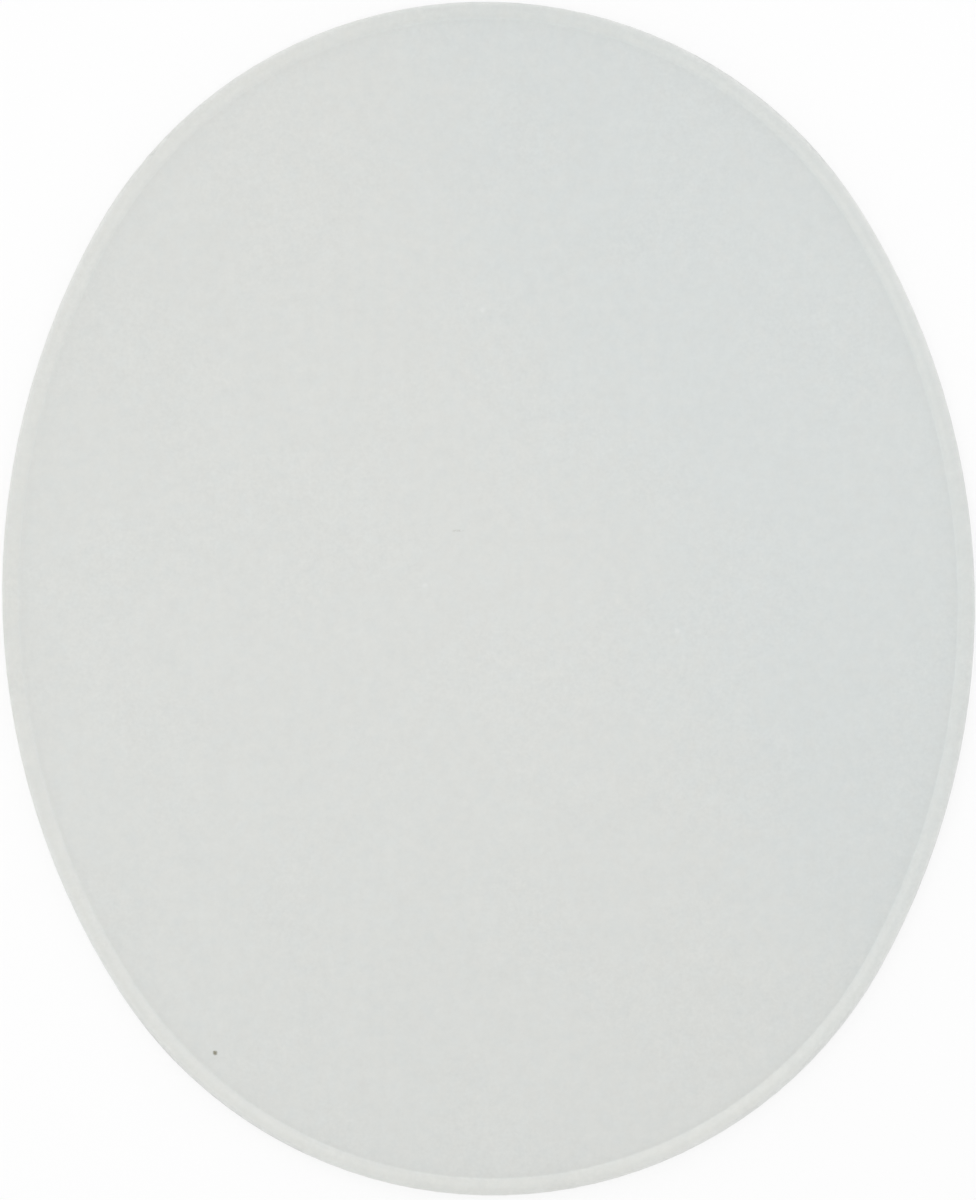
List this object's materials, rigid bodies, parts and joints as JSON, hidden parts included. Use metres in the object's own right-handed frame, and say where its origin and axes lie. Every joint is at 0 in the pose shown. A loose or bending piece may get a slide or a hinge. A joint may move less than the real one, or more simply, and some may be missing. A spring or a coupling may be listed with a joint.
{
  "type": "racing number board",
  "caption": "Oval blank number board for a racing motorbike, moulded in white plastic, with a raised rounded rim round its flat front face and a plain flat back.",
  "frame": {"origin": "centre of the flat back face", "axes": "+Z square out of the front face, +Y along the oval's long axis towards the end that is the top in use, +X along the short axis, to the right as the front face is read"},
  "size_m": [0.228, 0.28, 0.0035],
  "materials": {
    "board_plastic": "white moulded plastic with a fine satin grain on the front face, slightly glossier on the rim's crown"
  },
  "bodies": {
    "root": {"number_board": "board_plastic"}
  },
  "joints": []
}
